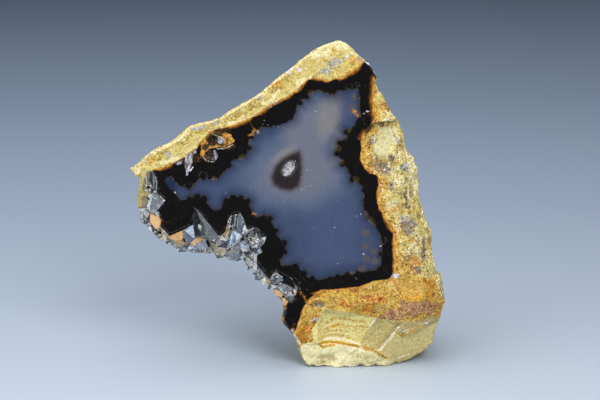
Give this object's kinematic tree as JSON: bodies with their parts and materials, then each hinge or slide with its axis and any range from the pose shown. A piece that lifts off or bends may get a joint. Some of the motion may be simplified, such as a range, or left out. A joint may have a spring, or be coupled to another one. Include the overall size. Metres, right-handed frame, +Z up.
{
  "type": "agate specimen",
  "caption": "Upright polished slab of yellow host rock with a black-rimmed blue agate, a drusy eye and clear quartz crystals on its broken edge.",
  "frame": {"origin": "on the ground, under the middle of the specimen's bounding box", "axes": "+Z up, -Y the way the polished face looks (it leans back 14 degrees), +X to the right of the face"},
  "size_m": [0.0776, 0.0342, 0.0788],
  "materials": {
    "host_rock": "sugary yellow to cream rock with orange rust stains, rough where broken, polished along the upper left band",
    "agate": "polished chalcedony, milky blue inside a black scalloped rim",
    "clear_quartz": "clear colourless natural crystal with flat faces",
    "druse": "crust of tiny sparkling grey crystals"
  },
  "bodies": {
    "root": {"host_rock": "host_rock", "agate": "agate", "quartz_crystals": "clear_quartz", "eye_druse": "druse", "vug_druse_upper": "druse", "vug_druse_lower": "druse"}
  },
  "joints": []
}
